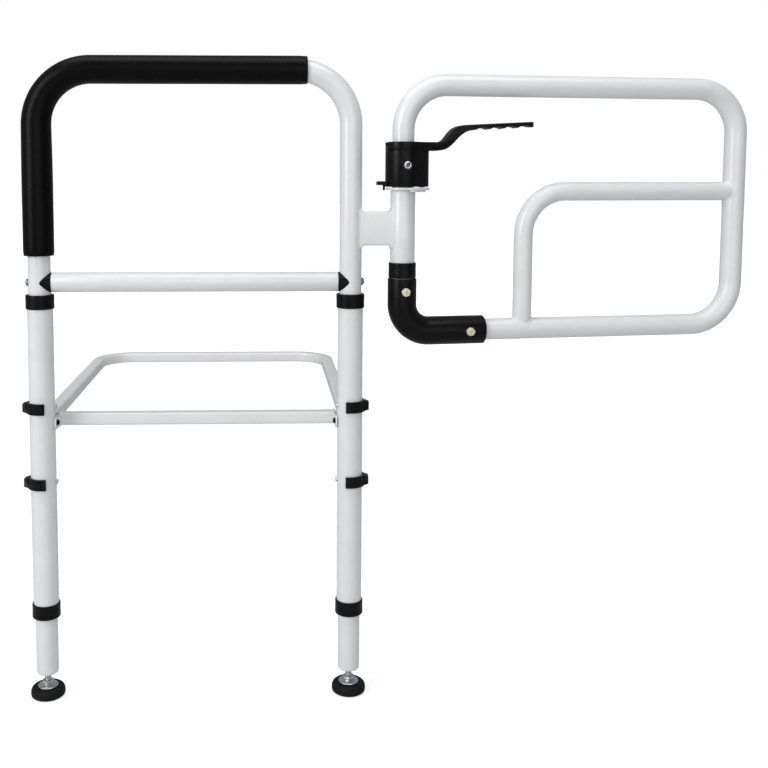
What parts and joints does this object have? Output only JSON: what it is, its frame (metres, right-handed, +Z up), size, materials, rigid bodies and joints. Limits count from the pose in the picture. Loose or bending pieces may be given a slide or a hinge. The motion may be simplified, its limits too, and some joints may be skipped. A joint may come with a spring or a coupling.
{
  "type": "bedside assist rail",
  "caption": "Height-adjustable bedside standing rail: foam-gripped hoop on telescopic legs, under-mattress loop, and a lever-released swing arm.",
  "frame": {"origin": "on the floor under the middle of the whole rail with the arm at rest", "axes": "+Z up, +X from the posts towards the free end of the swing arm, +Y towards the bed"},
  "size_m": [0.9465, 0.5213, 0.8238],
  "materials": {
    "white_paint": "gloss white powder coat",
    "grip_foam": "satin closed-cell foam skin",
    "black_plastic": "satin moulded",
    "foot_rubber": "matt moulded",
    "zinc_steel": "bright zinc plate",
    "yellow_zinc": "pale yellow zinc plate",
    "black_screw": "black oxide",
    "spring_steel": "drawn wire"
  },
  "bodies": {
    "frame": {"left_post_tube": "white_paint", "left_post_top_collar": "black_plastic", "left_post_bottom_collar": "black_plastic", "left_loop_bracket": "white_paint", "left_loop_screw": "black_screw", "left_loop_nut": "zinc_steel", "right_post_tube": "white_paint", "right_post_top_collar": "black_plastic", "right_post_bottom_collar": "black_plastic", "right_loop_bracket": "white_paint", "right_loop_screw": "black_screw", "right_loop_nut": "zinc_steel", "under_mattress_loop": "white_paint", "loop_front_bar": "white_paint"},
    "hoop": {"left_saddle": "black_plastic", "left_cross_bar_bolt": "zinc_steel", "right_saddle": "black_plastic", "right_cross_bar_bolt": "zinc_steel", "hoop_tube": "white_paint", "foam_grip": "grip_foam", "cross_bar": "white_paint", "pivot_bracket": "white_paint", "pivot_sleeve": "white_paint", "sleeve_collar": "black_plastic", "index_plate": "white_paint"},
    "swing_arm": {"arm_tube": "white_paint", "arm_brace": "white_paint", "elbow": "black_plastic", "upper_elbow_bolt": "yellow_zinc", "upper_elbow_nut": "yellow_zinc", "lower_elbow_bolt": "yellow_zinc", "lower_elbow_nut": "yellow_zinc", "lock_housing": "black_plastic", "housing_screw": "zinc_steel", "stop_peg": "black_plastic", "spring_cap": "black_plastic", "lever_pin": "zinc_steel", "lock_spring": "spring_steel"},
    "lock_pin": {"lock_pin": "zinc_steel"},
    "release_lever": {"release_lever": "black_plastic"},
    "left_leg": {"left_foot_leg": "white_paint", "left_leg_nut": "zinc_steel"},
    "left_foot_screw": {"left_foot_stud": "zinc_steel"},
    "left_foot": {"left_foot_pad": "foot_rubber"},
    "left_upper_clip": {"left_upper_clip_strap": "black_plastic", "left_upper_clip_pin": "zinc_steel"},
    "left_lower_clip": {"left_lower_clip_strap": "black_plastic", "left_lower_clip_pin": "zinc_steel"},
    "right_leg": {"right_foot_leg": "white_paint", "right_leg_nut": "zinc_steel"},
    "right_foot_screw": {"right_foot_stud": "zinc_steel"},
    "right_foot": {"right_foot_pad": "foot_rubber"},
    "right_upper_clip": {"right_upper_clip_strap": "black_plastic", "right_upper_clip_pin": "zinc_steel"},
    "right_lower_clip": {"right_lower_clip_strap": "black_plastic", "right_lower_clip_pin": "zinc_steel"}
  },
  "joints": [
    {"name": "hoop_height", "type": "slide", "parent": "frame", "child": "hoop", "axis": [0, 0, 1], "range_m": [0, 0.1]},
    {"name": "arm_swing", "type": "hinge", "parent": "hoop", "child": "swing_arm", "pos_m": [0.00766, -0.22682, 0.6075], "axis": [0, 0, 1], "range_deg": [-90, 90]},
    {"name": "lever_squeeze", "type": "hinge", "parent": "swing_arm", "child": "release_lever", "pos_m": [-0.01058, -0.22922, 0.7104], "axis": [0.1305, -0.9914, 0], "range_deg": [0, 8.5], "stiffness_Nm_per_rad": 1.2, "springref_deg": -8.59},
    {"name": "lock_pin_lift", "type": "slide", "parent": "swing_arm", "child": "lock_pin", "axis": [0, 0, 1], "range_m": [0, 0.0065], "deforming": ["lock_spring"]},
    {"name": "left_leg_length", "type": "slide", "parent": "frame", "child": "left_leg", "axis": [0, 0, -1], "range_m": [0, 0.14]},
    {"name": "left_foot_level", "type": "slide", "parent": "left_leg", "child": "left_foot_screw", "axis": [0, 0, -1], "range_m": [-0.01, 0.012]},
    {"name": "left_foot_swivel", "type": "hinge", "parent": "left_foot_screw", "child": "left_foot", "pos_m": [-0.45014, -0.22682, 0.009], "axis": [0, 0, 1], "continuous": true},
    {"name": "left_upper_clip_pull", "type": "slide", "parent": "frame", "child": "left_upper_clip", "axis": [-1, 0, 0], "range_m": [0, 0.045]},
    {"name": "left_lower_clip_pull", "type": "slide", "parent": "frame", "child": "left_lower_clip", "axis": [-1, 0, 0], "range_m": [0, 0.045]},
    {"name": "right_leg_length", "type": "slide", "parent": "frame", "child": "right_leg", "axis": [0, 0, -1], "range_m": [0, 0.14]},
    {"name": "right_foot_level", "type": "slide", "parent": "right_leg", "child": "right_foot_screw", "axis": [0, 0, -1], "range_m": [-0.01, 0.012]},
    {"name": "right_foot_swivel", "type": "hinge", "parent": "right_foot_screw", "child": "right_foot", "pos_m": [-0.05814, -0.22682, 0.009], "axis": [0, 0, 1], "continuous": true},
    {"name": "right_upper_clip_pull", "type": "slide", "parent": "frame", "child": "right_upper_clip", "axis": [1, 0, 0], "range_m": [0, 0.045]},
    {"name": "right_lower_clip_pull", "type": "slide", "parent": "frame", "child": "right_lower_clip", "axis": [1, 0, 0], "range_m": [0, 0.045]}
  ],
  "couplings": [
    {"joint": "lock_pin_lift", "follows": "lever_squeeze", "m_per_rad": 0.0431}
  ]
}
